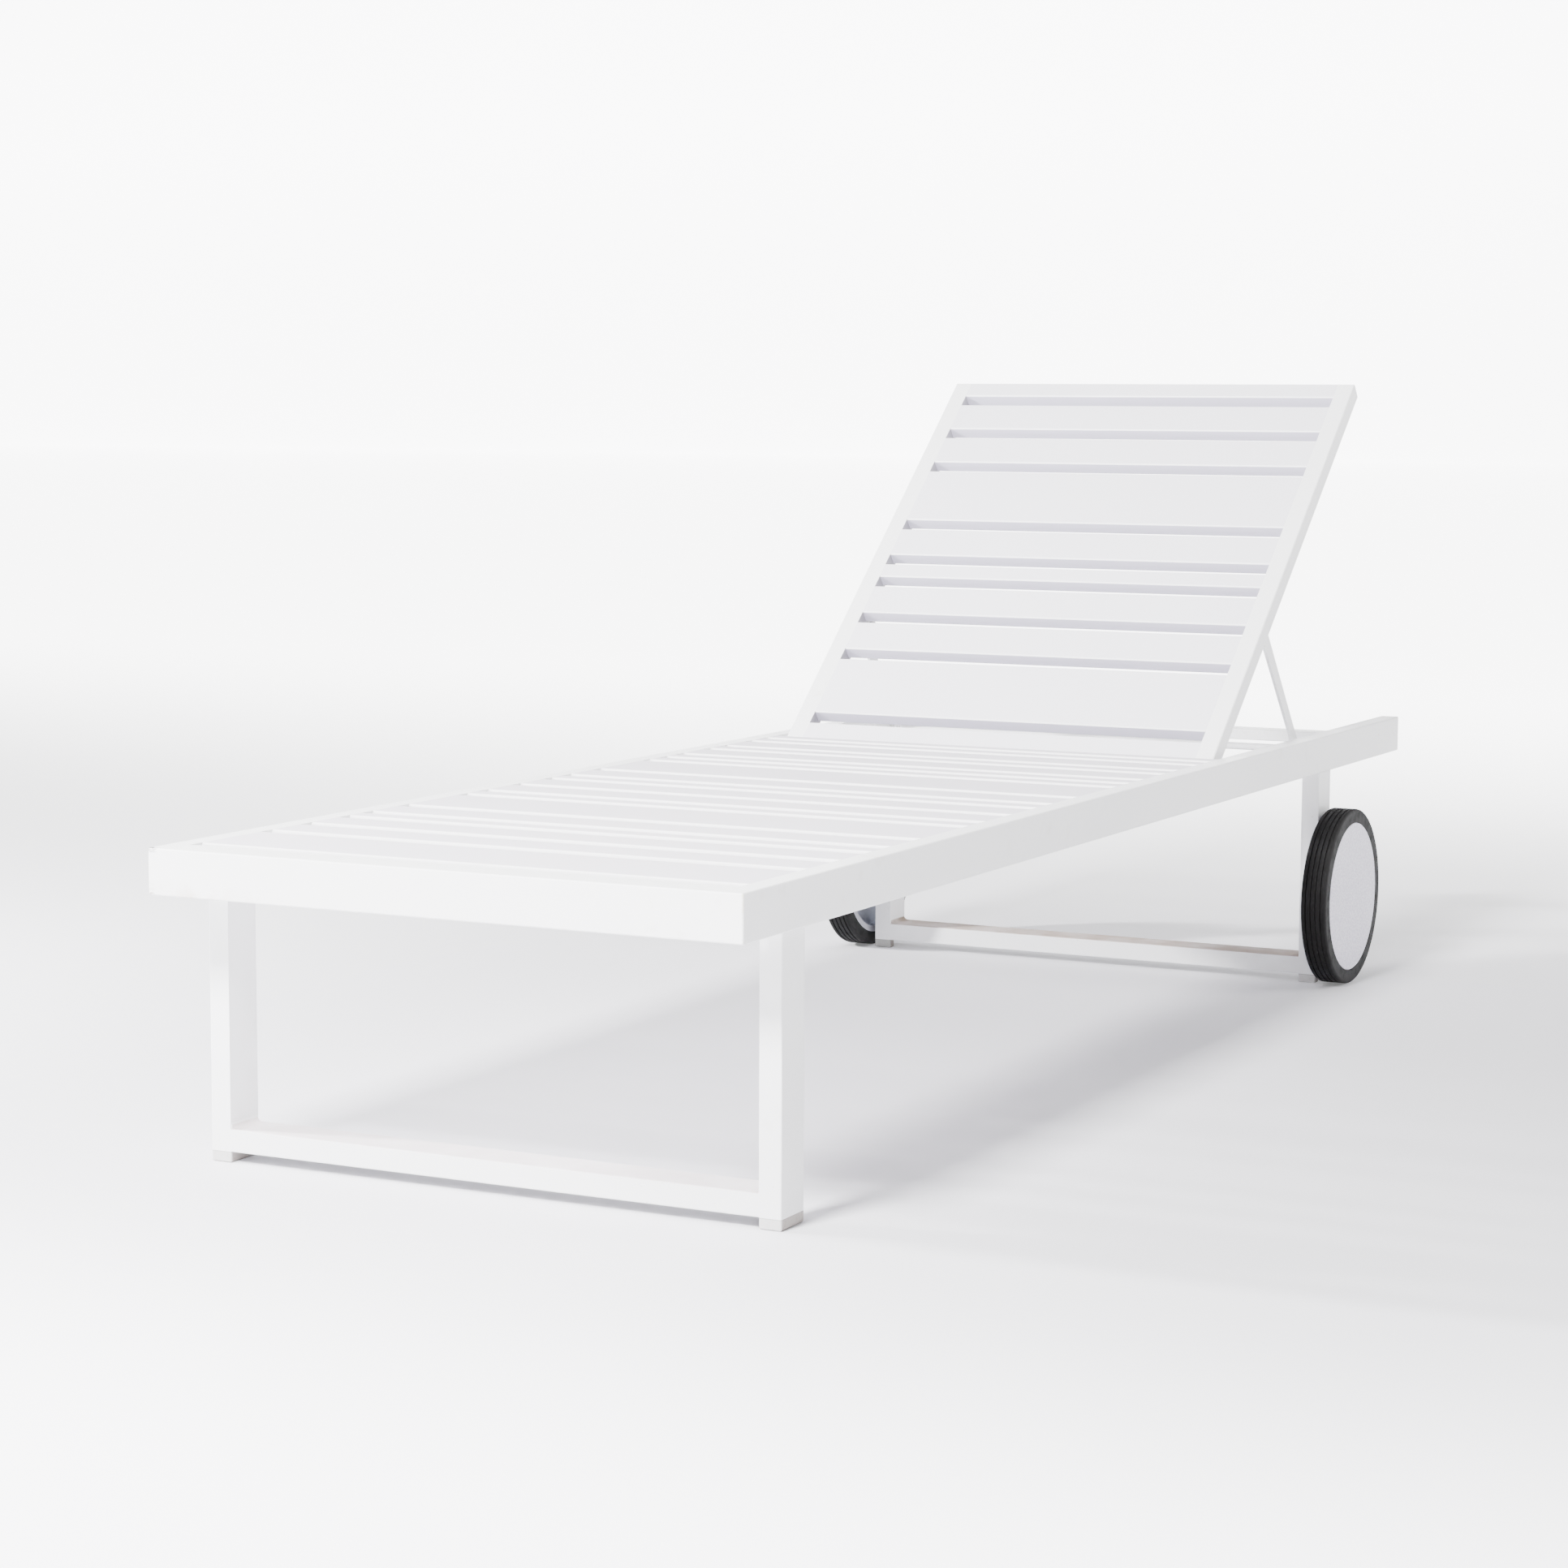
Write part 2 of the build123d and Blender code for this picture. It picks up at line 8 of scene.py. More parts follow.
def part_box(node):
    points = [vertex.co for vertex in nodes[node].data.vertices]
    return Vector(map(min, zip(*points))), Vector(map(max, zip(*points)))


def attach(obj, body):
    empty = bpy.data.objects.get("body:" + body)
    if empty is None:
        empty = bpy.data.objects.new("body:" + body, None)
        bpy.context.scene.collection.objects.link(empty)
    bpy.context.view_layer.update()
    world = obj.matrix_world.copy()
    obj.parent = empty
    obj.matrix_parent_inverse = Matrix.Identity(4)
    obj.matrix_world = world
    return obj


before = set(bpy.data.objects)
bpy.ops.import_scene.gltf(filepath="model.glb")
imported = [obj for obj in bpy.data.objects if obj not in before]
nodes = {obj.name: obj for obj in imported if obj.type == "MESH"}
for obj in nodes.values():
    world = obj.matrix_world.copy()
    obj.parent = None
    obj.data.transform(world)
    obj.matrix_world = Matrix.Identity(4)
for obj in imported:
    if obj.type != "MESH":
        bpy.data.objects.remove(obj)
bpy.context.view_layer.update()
bpy.ops.object.select_all(action="DESELECT")

# The outer frame: two side rails on edge, a deeper rail across the foot end and a low one near the head.
# They are extruded aluminium tube, welded, ground flush at the corners and powder-coated white,
# so the surface is satin, with a fine orange peel, scuffs at the foot corners and a little handling dirt.


class Shade:
    """A value in a material that Python expressions can work with."""

    def __init__(self, tree, socket=None):
        self.tree = tree
        self.socket = socket

    def node(self, kind, settings=None, inputs=None, output=0):
        """Add a node: its settings first, then the values or links of its sockets."""
        made = self.tree.nodes.new(kind)
        for name, value in (settings or {}).items():
            setattr(made, name, value)
        for name, value in (inputs or {}).items():
            if isinstance(value, Shade):
                self.tree.links.new(value.socket, made.inputs[name])
            else:
                made.inputs[name].default_value = value
        return Shade(self.tree, made.outputs[output])

    def math(self, operation, first, second=0.0):
        return self.node("ShaderNodeMath", {"operation": operation}, {0: first, 1: second})

    def __add__(self, other):
        return self.math("ADD", self, other)

    __radd__ = __add__

    def __sub__(self, other):
        return self.math("SUBTRACT", self, other)

    def __rsub__(self, other):
        return self.math("SUBTRACT", other, self)

    def __mul__(self, other):
        return self.math("MULTIPLY", self, other)

    __rmul__ = __mul__

    def __abs__(self):
        return self.math("ABSOLUTE", self)

    def between(self, low, high):
        """0 below low, 1 above high and a smooth step in between; low may be the larger."""
        settings = {"interpolation_type": "SMOOTHSTEP"}
        return self.node("ShaderNodeMapRange", settings, {0: self, 1: low, 2: high, 3: 0.0, 4: 1.0})

    def near(self, middle, reach):
        """1 at the middle, fading to 0 at that reach on both sides."""
        return abs(self - middle).between(reach, 0.0)

    def tint(self, low, high):
        """A colour between two colours, by this value."""
        made = self.tree.nodes.new("ShaderNodeMix")
        made.data_type = "RGBA"
        self.tree.links.new(self.socket, made.inputs[0])
        for slot, colour in ((6, low), (7, high)):
            if isinstance(colour, Shade):
                self.tree.links.new(colour.socket, made.inputs[slot])
            else:
                made.inputs[slot].default_value = (*colour, 1.0)
        return Shade(self.tree, made.outputs[2])


def start_material(name):
    """A new material: its principled shader, and the place on the object as a value to work from."""
    material = bpy.data.materials.new(name)
    material.use_nodes = True
    shader = material.node_tree.nodes["Principled BSDF"]
    place = Shade(material.node_tree).node("ShaderNodeTexCoord", output="Object")
    return material, shader, place


def join(shader, **inputs):
    """Feed the shader's sockets, given by name with _ for a space."""
    for name, value in inputs.items():
        socket = shader.inputs[name.replace("_", " ").title().replace("Ior", "IOR")]
        if isinstance(value, Shade):
            value.tree.links.new(value.socket, socket)
        else:
            socket.default_value = value


def axes(place):
    """The three coordinates of a place."""
    split = place.node("ShaderNodeSeparateXYZ", {}, {0: place}).socket.node
    return [Shade(place.tree, socket) for socket in split.outputs]


def stretched(place, scale):
    """The place with its axes scaled, so that a pattern runs along the smallest."""
    return place.node("ShaderNodeMapping", {}, {"Vector": place, "Scale": scale})


def noise(place, scale, detail=2.0, roughness=0.5):
    """Smooth noise from 0 to 1, with its scale in spots per metre."""
    inputs = {"Vector": place, "Scale": scale, "Detail": detail, "Roughness": roughness}
    return place.node("ShaderNodeTexNoise", {}, inputs)


def relief(height, distance, strength=1.0):
    """A bump of that height in metres."""
    return height.node("ShaderNodeBump", {}, {"Strength": strength, "Distance": distance, "Height": height})


def dress(material, names):
    """Give CAD nodes a material."""
    for name in names:
        nodes[name].data.materials.clear()
        nodes[name].data.materials.append(material)


def powder_coat(name, white, shade, wear, gloss=0.34, marks=None):
    """Satin powder coat: a near-white with soft clouds, orange peel, dirt by that much wear, and placed marks."""
    grime = (0.56, 0.50, 0.44)
    material, shader, place = start_material(name)
    clouds = noise(place, 2.6, 3.0).between(0.3, 0.7)
    mottle = noise(place, 90.0, 3.0, 0.6)
    specks = noise(place, 420.0, 2.0).between(0.70, 0.78)
    smears = noise(place, 38.0, 4.0, 0.6).between(0.56, 0.72) * noise(place, 5.0).between(0.5, 0.68)
    colour = (0.7 * clouds + 0.3 * mottle).tint(white, shade)
    colour = (smears * wear).tint(colour, grime)
    colour = (specks * (0.5 * wear)).tint(colour, grime)
    dull = 0.12 * smears
    for mask, tone in marks(place) if marks else ():
        colour = mask.tint(colour, tone)
        dull = dull + 0.25 * mask
    peel = noise(place, 620.0, 1.0)
    join(
        shader,
        base_color=colour,
        roughness=gloss + 0.08 * clouds + dull,
        normal=relief(peel, 0.00012, 0.30),
    )
    return material


half_width = 0.350
foot_end = -1.050
rail_top = 0.350
rail_bottom = 0.300


def frame_marks(place):
    """Scuffs on the foot rail's left corners, dust along its lower edge and the rubbed edge at its right end."""
    x, y, z = axes(place)
    from_left = x + half_width
    from_right = half_width - x
    from_foot = y - foot_end
    below_top = rail_top - z
    above_bottom = z - rail_bottom
    scratches = noise(stretched(place, (90.0, 200.0, 300.0)), 1.0, 3.0, 0.6).between(0.46, 0.56)
    dusty = noise(place, 55.0, 4.0, 0.6).between(0.35, 0.75)
    stains = noise(place, 120.0, 3.0, 0.6).between(0.58, 0.70)
    front = from_foot.between(0.010, 0.004)
    corner = from_left.between(0.014, 0.005) * below_top.between(0.0055, 0.0025) * front
    lower_corner = from_left.between(0.010, 0.002) * above_bottom.between(0.009, 0.002) * front
    edge_ends = below_top.between(0.010, 0.004) + above_bottom.between(0.012, 0.004)
    left_edge = from_left.between(0.0022, 0.0008) * from_foot.between(0.006, 0.002) * edge_ends
    lower = above_bottom.between(0.020, 0.001) * from_left.between(0.19, 0.05) * front * dusty
    rubbed = from_right.between(0.0025, 0.0005) * from_foot.between(0.0025, 0.0005) * dusty
    far_stain = stains * y.between(0.70, 1.0) * below_top.near(0.020, 0.020)
    return (
        (0.95 * corner * scratches, (0.060, 0.048, 0.042)),
        (0.90 * lower_corner * scratches, (0.110, 0.085, 0.070)),
        (0.75 * left_edge * dusty, (0.100, 0.080, 0.070)),
        (0.45 * lower, (0.54, 0.44, 0.37)),
        (0.70 * rubbed, (0.55, 0.45, 0.26)),
        (0.30 * far_stain, (0.50, 0.40, 0.32)),
    )


frame_coat = powder_coat("frame_coat", (0.905, 0.905, 0.908), (0.885, 0.885, 0.892), 0.14, marks=frame_marks)
dress(frame_coat, ["foot_rail", "left_side_rail", "right_side_rail", "head_cross_rail"])

# End caps in the open head ends of the side rails: pushed-in plugs of white polyethylene,
# a shade duller than the coat, with a fine moulded grain.
cap_plastic, shader, place = start_material("cap_plastic")
cap_grain = noise(place, 1500.0, 2.0)
cap_clouds = noise(place, 30.0)
join(
    shader,
    base_color=cap_clouds.tint((0.80, 0.80, 0.80), (0.84, 0.84, 0.835)),
    roughness=0.50 + 0.12 * cap_grain,
    normal=relief(cap_grain, 0.00006, 0.5),
)
dress(cap_plastic, ["rail_end_caps"])

# Seat slats: flat hollow extrusions in three widths, welded between the rails and coated with them.
# Their broad faces carry painted shade, a shade darker and cooler than the edges, and faint rubbed patches where people
# sit.


def facing(place, direction):
    """How far the surface faces along a direction, either way: 1 for squarely, 0 for edge on."""
    normal = place.node("ShaderNodeTexCoord", output="Normal")
    dot = {"operation": "DOT_PRODUCT"}
    return abs(place.node("ShaderNodeVectorMath", dot, {0: normal, 1: direction}, "Value"))


def slat_marks(place):
    """The broad faces darkened as painted shade and a little rougher, faint rubbed patches where people sit, and a few
    scratches.
    """
    x = axes(place)[0]
    top = facing(place, (0.0, 0.0, 1.0)).between(0.93, 0.995)
    seat = x.near(0.0, 0.30) * noise(place, 3.2, 2.0).between(0.42, 0.62)
    scratches = noise(stretched(place, (420.0, 26.0, 420.0)), 1.0, 2.0, 0.6).between(0.66, 0.72)
    return (
        # Painted shade: the top faces are painted darker and cooler so that the lit edges stand out.
        (top, (0.740, 0.712, 0.765)),
        (0.35 * seat * top, (0.745, 0.695, 0.715)),
        (0.10 * scratches, (0.56, 0.52, 0.50)),
    )


slat_coat = powder_coat("slat_coat", (0.900, 0.896, 0.902), (0.884, 0.878, 0.888), 0.10, 0.33, slat_marks)
seat_slats = [name for name in nodes if name.startswith("seat_slat")]
dress(slat_coat, seat_slats)

# Welds under the seat: one short bead at each end of each slat, where its underside meets the rail.
# The weld pool leaves ripples, and the coat over them is thin and catches dirt.
rail_face = 0.325
bead_radius = 0.0026
bead_ripples = 9
ripple_swell = 1.16
bead_end = 0.45
slat_bead_share = 0.62


def choose(piece, test):
    """Select the corners whose place passes the test, and go to edit mode."""
    bpy.ops.object.mode_set(mode="EDIT")
    bpy.ops.mesh.select_mode(type="VERT")
    bpy.ops.mesh.select_all(action="DESELECT")
    bpy.ops.object.mode_set(mode="OBJECT")
    for corner in piece.data.vertices:
        corner.select = test(corner.co)
    bpy.ops.object.mode_set(mode="EDIT")


bpy.ops.object.select_all(action="DESELECT")
bpy.ops.mesh.primitive_cylinder_add(vertices=10, radius=bead_radius, depth=1.0, rotation=(math.pi / 2, 0.0, 0.0))
bead = bpy.context.object
bpy.ops.object.transform_apply(location=False, rotation=True, scale=False)
bpy.ops.object.mode_set(mode="EDIT")
bead_cuts = 2 * bead_ripples
for cut in range(1, bead_cuts):
    bpy.ops.mesh.select_all(action="SELECT")
    bpy.ops.mesh.bisect(plane_co=(0.0, cut / bead_cuts - 0.5, 0.0), plane_no=(0.0, 1.0, 0.0))
bpy.ops.object.mode_set(mode="OBJECT")
choose(bead, lambda at: round((at.y + 0.5) * bead_cuts) % 2 == 1)
bpy.ops.transform.resize(value=(ripple_swell, 1.0, ripple_swell), center_override=(0.0, 0.0, 0.0))
bpy.ops.object.mode_set(mode="OBJECT")
choose(bead, lambda at: abs(at.y) > 0.499)
bpy.ops.transform.resize(value=(bead_end, 1.0, bead_end), center_override=(0.0, 0.0, 0.0))
bpy.ops.object.mode_set(mode="OBJECT")
bpy.ops.object.shade_smooth()


def lay_beads(name, runs, body):
    """Copies of the bead at each run's middle, length and turn about X, joined into one piece."""
    bpy.ops.object.select_all(action="DESELECT")
    for middle, length, turn in runs:
        stitch = bead.copy()
        stitch.data = bead.data.copy()
        stitch.location = middle
        stitch.scale = (1.0, length, 1.0)
        stitch.rotation_euler = (turn, 0.0, 0.0)
        bpy.context.scene.collection.objects.link(stitch)
        stitch.select_set(True)
        bpy.context.view_layer.objects.active = stitch
    bpy.ops.object.join()
    welds = bpy.context.object
    welds.name = name
    bpy.ops.object.transform_apply(location=True, rotation=True, scale=True)
    welds.data.materials.append(weld_coat)
    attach(welds, body)


weld_coat = powder_coat("weld_coat", (0.840, 0.835, 0.830), (0.780, 0.770, 0.760), 0.55, 0.42)
seat_runs = []
for name in seat_slats:
    low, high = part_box(name)
    for side in (-1, 1):
        middle = (side * rail_face, (low[1] + high[1]) / 2, low[2])
        seat_runs.append((middle, slat_bead_share * (high[1] - low[1]), 0.0))
lay_beads("seat_slat_welds", seat_runs, "frame")

# Leg frames: upright tubes under the rails, with a stretcher tube laid flat between their feet.
# Each frame is welded in one piece, with a rounded bead in the inside corners, and coated white.
# The stretchers' tops are a shade darker and pinker, beige dust lies on top of the rear one, and dirt sits in the
# corners of the rear frame.
leg_inside = 0.3185
stretcher_top = 0.037


def leg_marks(place):
    """The stretchers' tops a shade darker and pinker, beige dust on top of the rear one, dirt in the weld corners, and
    specks on the legs.
    """
    x, y, z = axes(place)
    from_leg = leg_inside - abs(x)
    above = z - stretcher_top
    inside = from_leg.between(0.0, 0.001)
    patches = noise(place, 22.0, 4.0, 0.6).between(0.25, 0.70)
    rear = y.between(0.0, 0.5)
    top = above.between(-0.0015, -0.0002) * inside
    weld_height = above.between(-0.0018, 0.0005) * above.between(0.013, 0.006)
    corner = from_leg.between(0.0165, 0.0065) * weld_height * inside
    specks = noise(place, 260.0, 2.0).between(0.74, 0.78)
    return (
        # All stretcher tops are made a shade darker and pinker than the front faces.
        (top * (0.75 + 0.25 * patches), (0.625, 0.570, 0.580)),
        (top * rear * (0.55 + 0.45 * patches), (0.400, 0.325, 0.275)),
        (corner * patches * (0.25 + 0.75 * rear), (0.250, 0.200, 0.155)),
        (0.45 * specks, (0.400, 0.350, 0.310)),
    )


leg_coat = powder_coat("leg_coat", (0.895, 0.895, 0.898), (0.872, 0.872, 0.879), 0.16, marks=leg_marks)
dress(leg_coat, [name for name in nodes if name.endswith(("_leg", "_stretcher"))])

# Welds at the tops of the legs: one bead along the inner side of each, in the corner under the rail.
# They are copies of the slats' bead, as long as the flat of the leg between its rounded edges.
leg_bead_share = 0.84
leg_runs = []
for name in nodes:
    if name.endswith("_leg"):
        low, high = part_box(name)
        inner = low[0] if low[0] > 0 else high[0]
        middle = (inner, (low[1] + high[1]) / 2, high[2])
        leg_runs.append((middle, leg_bead_share * (high[1] - low[1]), 0.0))
lay_beads("leg_welds", leg_runs, "frame")

# Feet: solid plugs of off-white polyethylene knocked into the legs, flush with them all round.
# They are clean in front and brown with dirt behind, and the one at the rear left carries painted shade, greyer and
# darker.
front_leg_face = -0.955
rear_leg_face = 0.702
foot_height = 0.012
foot_plastic, shader, place = start_material("foot_plastic")
x, y, z = axes(place)
at_rear = y.between(-0.1, 0.1)
scuffs = noise(place, 160.0, 4.0, 0.65).between(0.50, 0.75)
from_leg_face = (y - front_leg_face) * (1.0 - at_rear) + (y - rear_leg_face) * at_rear
foot_dirt = from_leg_face.between(0.0005, 0.004) * (0.75 + 0.25 * scuffs)
seam = z.near(foot_height, 0.0012)
# Painted shade: the rear left foot, which stands in shadow, is painted darker and greyer.
rear_left_shade = at_rear * x.between(0.1, -0.1)
front_colour = rear_left_shade.tint((0.590, 0.580, 0.570), (0.375, 0.375, 0.355))
foot_colour = foot_dirt.tint(front_colour, (0.270, 0.228, 0.205))
join(
    shader,
    base_color=(0.15 * scuffs + 0.6 * seam).tint(foot_colour, (0.200, 0.180, 0.170)),
    roughness=0.48 + 0.2 * scuffs,
    normal=relief(scuffs, 0.0002, 0.35),
)
dress(foot_plastic, [name for name in nodes if name.endswith("_foot")])

# Hinge pins: turned steel stubs with a collar, pressed into the side rails, on which the backrest's stiles turn.
# They are zinc-plated over fine lathe marks, and the plating is stained in places.
plated_steel, shader, place = start_material("plated_steel")
lathe = noise(stretched(place, (2600.0, 60.0, 60.0)), 1.0, 2.0)
stain = noise(place, 180.0, 3.0).between(0.5, 0.75)
join(
    shader,
    base_color=stain.tint((0.56, 0.56, 0.57), (0.40, 0.39, 0.38)),
    metallic=1.0,
    roughness=0.30 + 0.14 * lathe + 0.15 * stain,
    normal=relief(lathe, 0.00003, 0.5),
)
dress(plated_steel, ["hinge_pins"])

# Racks: notched steel plates inside the rails that take the prop's cross rod, coated like the frame
# and worn to grey in the notches, where the rod drops in. Each is welded to the rail along its lower edge.
notch_bottom = 0.326
rack_bead_length = 0.036
rack_bead_places = (0.14, 0.5, 0.86)


def rack_marks(place):
    """Coat worn thin along the bottoms of the notches and the lower parts of the teeth."""
    z = axes(place)[2]
    worn = noise(place, 300.0, 3.0, 0.6).between(0.35, 0.65)
    return ((0.35 * worn * z.near(notch_bottom, 0.006), (0.42, 0.41, 0.40)),)


rack_coat = powder_coat("rack_coat", (0.880, 0.880, 0.884), (0.855, 0.855, 0.862), 0.25, marks=rack_marks)
dress(rack_coat, ["left_rack", "right_rack"])
rack_runs = []
for name, side in (("left_rack", -1), ("right_rack", 1)):
    low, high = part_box(name)
    for share in rack_bead_places:
        middle = (side * rail_face, low[1] + share * (high[1] - low[1]), low[2])
        rack_runs.append((middle, rack_bead_length, 0.0))
lay_beads("rack_welds", rack_runs, "frame")

# Backrest: square-tube stiles, a bottom rail on the hinge line, a top rail, and slats flush with the face.
# It is one welded frame, coated white like the seat.
back_angle = math.radians(40.9)
stile_face = 0.289


def back_marks(place):
    """The broad faces darker and cooler as painted shade, painted shade on the edges inside the slots, and patches
    where shoulders lean.
    """
    x = axes(place)[0]
    face = facing(place, (0.0, -math.sin(back_angle), math.cos(back_angle)))
    front = face.between(0.93, 0.995)
    # Painted shade: the slat edges that face each other across the slots.
    slot = face.between(0.30, 0.10) * facing(place, (1.0, 0.0, 0.0)).between(0.5, 0.3)
    leaned = x.near(0.0, 0.28) * noise(place, 3.0, 2.0).between(0.45, 0.65)
    return (
        # Painted shade: the broad faces are painted darker and cooler so that the lit edges stand out.
        (front, (0.785, 0.772, 0.815)),
        (0.25 * leaned * front, (0.780, 0.764, 0.780)),
        # The slot walls are painted dark lavender grey as painted shade inside the slots.
        (slot, (0.560, 0.540, 0.635)),
    )


back_coat = powder_coat("back_coat", (0.900, 0.898, 0.904), (0.884, 0.880, 0.890), 0.10, 0.32, back_marks)
dress(back_coat, [name for name in nodes if name.startswith("back_")])


def stile_marks(place):
    """Painted shade on the inner faces, seen at the ends of the slots."""
    # Painted shade: the stiles' inner faces are painted dark where they show at the ends of the slots.
    inner = facing(place, (1.0, 0.0, 0.0)).between(0.90, 0.99) * abs(axes(place)[0]).near(stile_face, 0.003)
    return ((inner, (0.430, 0.415, 0.455)),)


stile_coat = powder_coat("stile_coat", (0.905, 0.905, 0.908), (0.885, 0.885, 0.892), 0.14, marks=stile_marks)
dress(stile_coat, ["left_stile", "right_stile"])

# Welds behind the backrest: one bead at each end of each slat, where its back meets the inside of the stile.
# They are the seat's beads again, turned to the backrest's angle.
slat_depth = 0.020
back_runs = []
for name in nodes:
    if name.startswith("back_slat"):
        low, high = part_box(name)
        centre = [(a + b) / 2 for a, b in zip(low, high)]
        width = (high[1] - low[1] - slat_depth * math.sin(back_angle)) / math.cos(back_angle)
        behind = slat_depth / 2
        for side in (-1, 1):
            middle = (
                side * stile_face,
                centre[1] + behind * math.sin(back_angle),
                centre[2] - behind * math.cos(back_angle),
            )
            back_runs.append((middle, slat_bead_share * width, back_angle))
lay_beads("back_slat_welds", back_runs, "backrest")
bpy.data.objects.remove(bead)

# Prop: two flat straps that turn on pins in lugs under the stiles, joined by a cross rod below.
# Steel, coated white, rubbed to grey at the ends of the rod, which slide on the racks.
rod_bare_from = 0.3105
pins_end = 0.3045
pins_above = 0.44


def prop_marks(place):
    """Bare steel at the ends of the cross rod, and chipped coat round the pins."""
    x, _, z = axes(place)
    chips = noise(place, 420.0, 3.0, 0.6).between(0.46, 0.60)
    rod_ends = abs(x).between(rod_bare_from, rod_bare_from + 0.002)
    pins = abs(x).between(pins_end, pins_end - 0.001) * z.between(pins_above, pins_above + 0.02)
    return (
        (0.75 * rod_ends, (0.46, 0.45, 0.44)),
        (0.45 * pins * chips, (0.50, 0.48, 0.46)),
    )


prop_coat = powder_coat("prop_coat", (0.890, 0.890, 0.893), (0.866, 0.866, 0.874), 0.20, marks=prop_marks)
dress(prop_coat, ["prop_lugs", "left_prop_arm", "right_prop_arm", "prop_cross_rod"])

# Pin caps: domed discs of pressed steel with a flat rim, zinc-plated.
# They are pushed over the inner ends of the prop's pins, to keep them in the lugs.
cap_radius = 0.0085
cap_height = 0.0042
cap_gap = 0.0004
cap_rim = 0.0022
cap_dome = ((0.0012, 0.0011), (0.0024, 0.0005))
cap_edge = 0.0005
lug_face = 0.289
strap_top_radius = 0.010
arm_low, arm_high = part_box("right_prop_arm")
pin_axis = (arm_low[1] + strap_top_radius, arm_high[2] - strap_top_radius)
for name, side in (("left_pin_cap", -1), ("right_pin_cap", 1)):
    bpy.ops.object.select_all(action="DESELECT")
    bpy.ops.mesh.primitive_cylinder_add(
        vertices=32,
        radius=cap_radius,
        depth=cap_height,
        location=(side * (lug_face - cap_gap - cap_height / 2), *pin_axis),
        rotation=(0.0, math.pi / 2, 0.0),
    )
    cap = bpy.context.object
    cap.name = name
    bpy.ops.object.transform_apply(location=True, rotation=True, scale=True)
    outer = side * (lug_face - cap_gap - cap_height)
    choose(cap, lambda at: abs(at.x - outer) < 1e-5)
    bpy.ops.mesh.inset(thickness=cap_rim, depth=0.0)
    for step, rise in cap_dome:
        bpy.ops.mesh.inset(thickness=step, depth=rise)
    bpy.ops.object.mode_set(mode="OBJECT")
    edge = cap.modifiers.new("edge", "BEVEL")
    edge.width = cap_edge
    edge.segments = 2
    bpy.ops.object.modifier_apply(modifier="edge")
    bpy.ops.object.shade_smooth_by_angle(angle=math.radians(40.0))
    cap.data.materials.append(plated_steel)
    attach(cap, "prop")

# Wheel bolts, spacers and threaded inserts: turned steel, zinc-plated like the hinge pins.
# The bolts screw into the inserts in the rear legs, and the covers hide their heads.
dress(plated_steel, ["axle_fittings"])

# Tyres: black rubber with four fine grooves round the tread, moulded in one piece.
# The flat side walls are dusty and a little lighter than the tread, and both are dull.
wheel_middle = 0.370
wheel_half_width = 0.018
tyre_rubber, shader, place = start_material("tyre_rubber")
from_wall = wheel_half_width - abs(abs(axes(place)[0]) - wheel_middle)
wall = from_wall.between(0.0030, 0.0004)
dust = noise(place, 70.0, 4.0, 0.6).between(0.42, 0.75)
pores = noise(place, 900.0, 3.0)
tread_colour = dust.tint((0.0042, 0.0042, 0.0042), (0.0085, 0.0083, 0.0081))
wall_colour = dust.tint((0.0115, 0.0115, 0.0117), (0.0160, 0.0158, 0.0156))
join(
    shader,
    base_color=wall.tint(tread_colour, wall_colour),
    roughness=0.62 + 0.22 * dust,
    specular_ior_level=0.18,
    normal=relief(pores, 0.00012, 0.6),
)
dress(tyre_rubber, ["left_tyre", "right_tyre"])

# Rims: moulded plastic with a hub, a recessed web and a lip on the inner side.
# The lip is a little paler than the web, and both are a bluish grey with a fine moulded grain.
lip_end = 0.3552
rim_plastic, shader, place = start_material("rim_plastic")
rim_grain = noise(place, 800.0, 2.0)
rim_clouds = noise(place, 18.0, 2.0)
lip = abs(axes(place)[0]).between(lip_end + 0.001, lip_end)
web_colour = rim_clouds.tint((0.270, 0.290, 0.350), (0.320, 0.340, 0.405))
lip_colour = rim_clouds.tint((0.330, 0.335, 0.375), (0.380, 0.385, 0.425))
join(
    shader,
    base_color=lip.tint(web_colour, lip_colour),
    roughness=0.40 + 0.15 * rim_grain,
    normal=relief(rim_grain, 0.00008, 0.5),
)
dress(rim_plastic, ["left_rim", "right_rim"])

# Wheel covers: flat moulded discs snapped into the outer sides of the rims, over the bolt heads.
# The plastic is a pale lavender grey with a fine grain that sparkles a little.
cover_plastic, shader, place = start_material("cover_plastic")
cover_grain = noise(place, 320.0, 3.0, 0.75)
cover_clouds = noise(place, 14.0, 2.0)
cover_colour = cover_clouds.tint((0.560, 0.530, 0.640), (0.605, 0.575, 0.680))
join(
    shader,
    base_color=(cover_grain.between(0.42, 0.58) * 0.75).tint(cover_colour, (0.830, 0.820, 0.880)),
    roughness=0.42 + 0.16 * cover_grain,
    normal=relief(cover_grain, 0.00012, 0.6),
)
dress(cover_plastic, ["left_wheel_cover", "right_wheel_cover"])

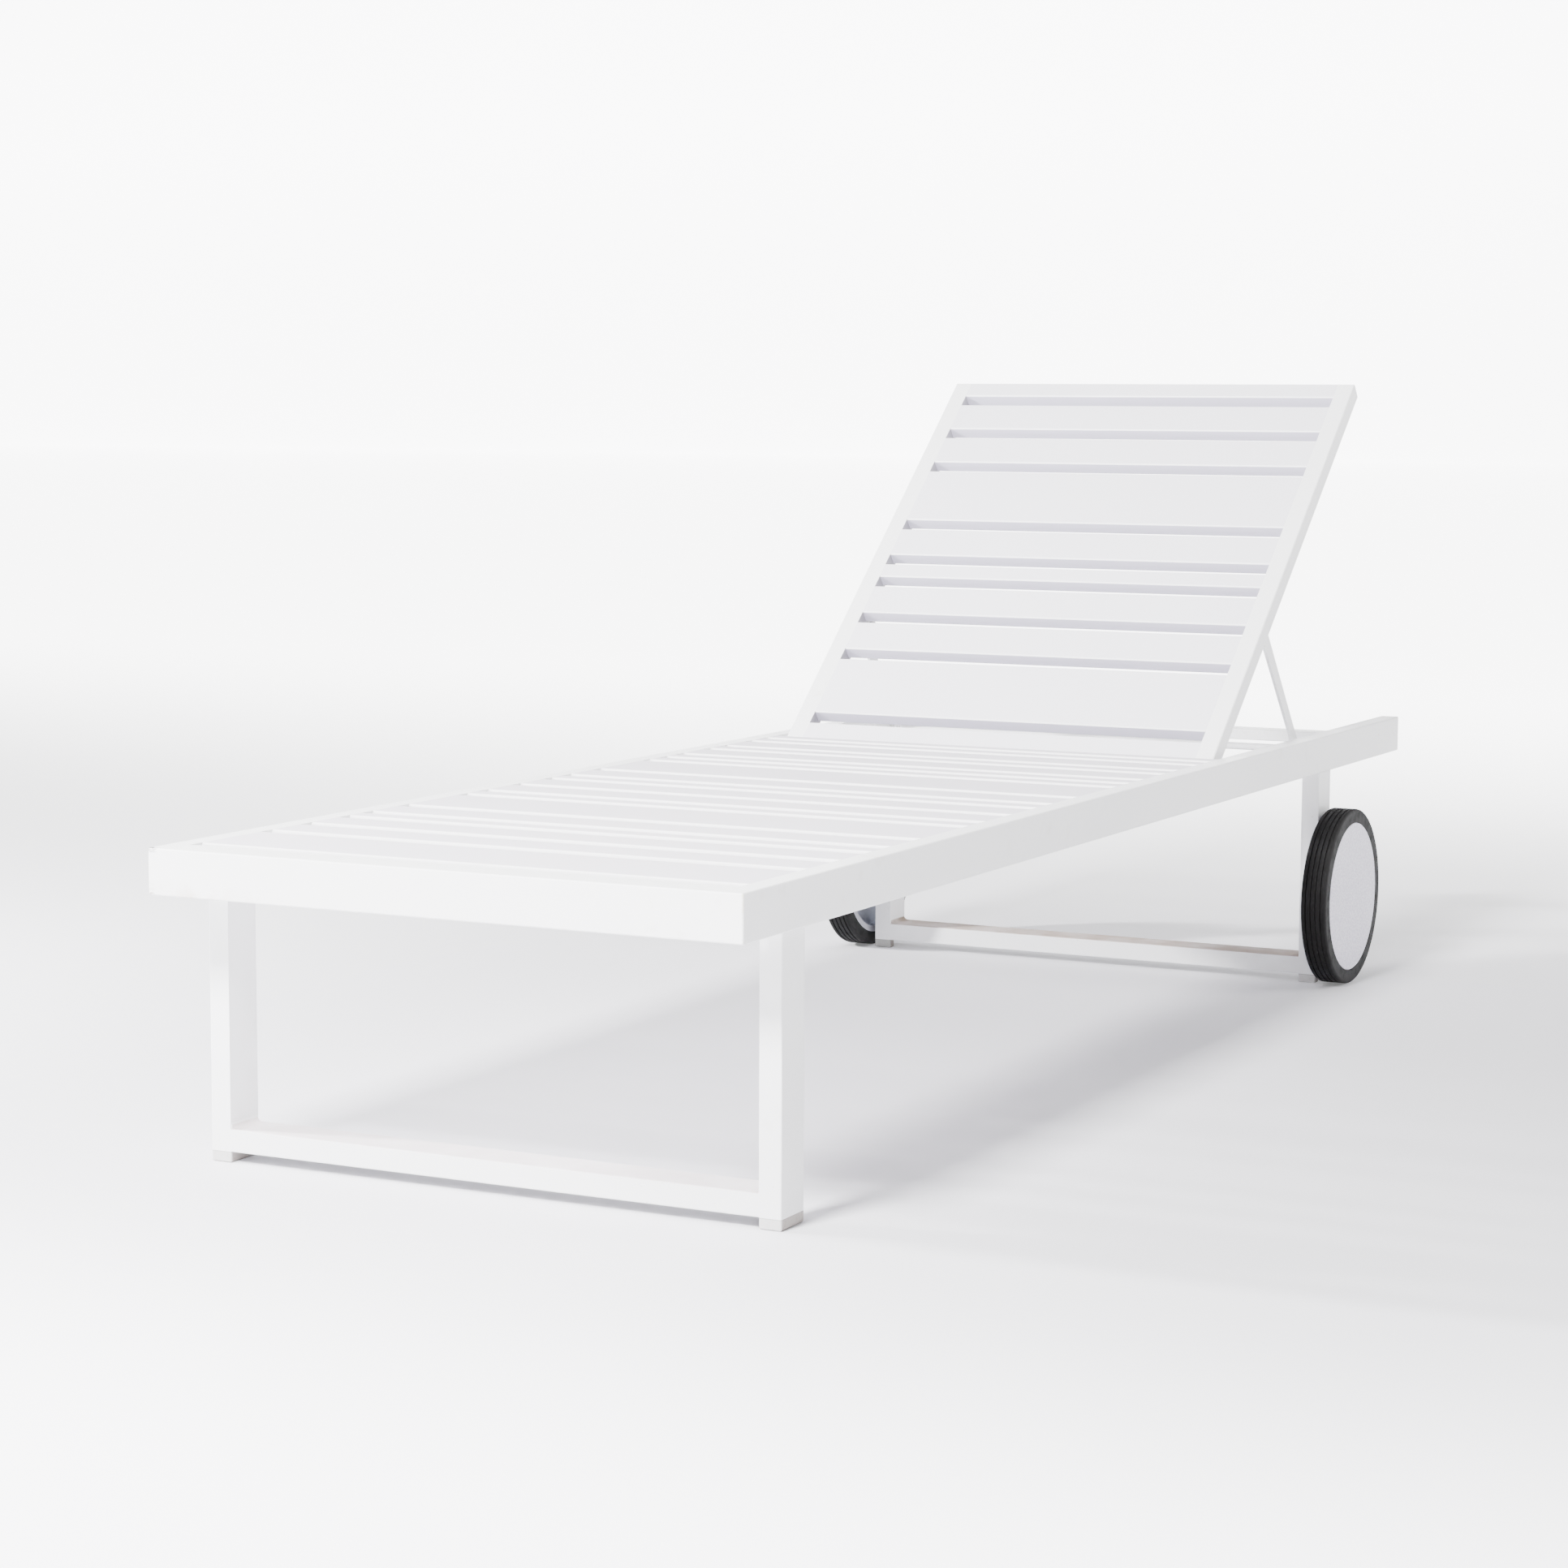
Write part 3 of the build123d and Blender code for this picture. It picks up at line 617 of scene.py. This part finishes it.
# The studio: a plain white floor that sweeps up into a far wall. Both glow behind the lounger, and the floor
# glows more weakly in front of it and beside it, as over a light table.
# A softbox stands high in front of the foot end, a hard lamp to the left and a weak panel behind to the right.
floor_size = 90.0
wall_height = 12.0
sweep_radius = 5.0
front_glow = 0.40
left_glow = 0.13
right_glow = 0.35
glow_strength = 7.5
right_edge_slope = 0.253
bpy.ops.object.select_all(action="DESELECT")
bpy.ops.mesh.primitive_plane_add(size=floor_size, location=(0.0, 0.0, 0.0))
floor = bpy.context.object
floor.name = "floor"
choose(floor, lambda at: at.y > 0.0)
bpy.ops.mesh.extrude_region_move(TRANSFORM_OT_translate={"value": (0.0, 0.0, wall_height)})
bpy.ops.object.mode_set(mode="OBJECT")
sweep = floor.modifiers.new("sweep", "BEVEL")
sweep.width = sweep_radius
sweep.segments = 32
bpy.ops.object.modifier_apply(modifier="sweep")
bpy.ops.object.shade_smooth()
floor_paint, shader, place = start_material("floor_paint")
x, y = axes(place)[:2]
right_limit = x + right_edge_slope * y
behind = right_limit.between(3.40, 0.86) * y.between(0.2, 5.5)
in_front = y.between(-0.98, -1.9)
beside = left_glow * x.between(-0.5, -1.6) + right_glow * x.between(0.9, 2.4)
glow = behind + (1.0 - behind) * (front_glow * in_front + (1.0 - in_front) * beside)
join(
    shader,
    base_color=noise(place, 1.5).tint((0.695, 0.690, 0.720), (0.705, 0.700, 0.730)),
    roughness=0.95,
    emission_color=glow.tint((0.0, 0.0, 0.0), (1.0, 1.0, 1.0)),
    emission_strength=glow_strength,
)
floor.data.materials.append(floor_paint)

world = bpy.data.worlds.new("studio")
bpy.context.scene.world = world
world.use_nodes = True
sky = world.node_tree.nodes["Background"]
sky.inputs["Color"].default_value = (0.975, 0.970, 1.0, 1.0)
sky.inputs["Strength"].default_value = 0.30

for name, spot, target, size, power in (
    ("key_softbox", (-0.1, -3.2, 2.67), (0.0, -0.6, 0.2), 0.75, 600.0),
    ("left_lamp", (-2.9, -1.5, 1.64), (0.0, 0.3, 0.2), 0.25, 430.0),
    ("right_panel", (3.2, 1.2, 2.2), (0.3, 0.2, 0.3), 2.0, 110.0),
):
    light = bpy.data.lights.new(name, "AREA")
    light.size = size
    light.energy = power
    lamp = bpy.data.objects.new(name, light)
    lamp.location = spot
    lamp.rotation_euler = (Vector(target) - Vector(spot)).to_track_quat("-Z", "Y").to_euler()
    lamp.visible_camera = False
    bpy.context.scene.collection.objects.link(lamp)

# The camera stands off the right front corner, at the height of a low tripod.
# It looks a little down along the seat, through a short telephoto lens.
camera_place = (1.861, -3.939, 0.820)
turn_left = math.radians(26.94)
look_down = math.radians(6.39)
camera_roll = math.radians(0.244)
lens = bpy.data.cameras.new("camera")
lens.sensor_width = 36.0
lens.lens = 79.56
lens.clip_end = 200.0
camera = bpy.data.objects.new("camera", lens)
aim = Matrix.Rotation(turn_left, 4, "Z") @ Matrix.Rotation(math.pi / 2 - look_down, 4, "X")
camera.matrix_world = Matrix.Translation(camera_place) @ aim @ Matrix.Rotation(camera_roll, 4, "Z")
bpy.context.scene.collection.objects.link(camera)
bpy.context.scene.camera = camera
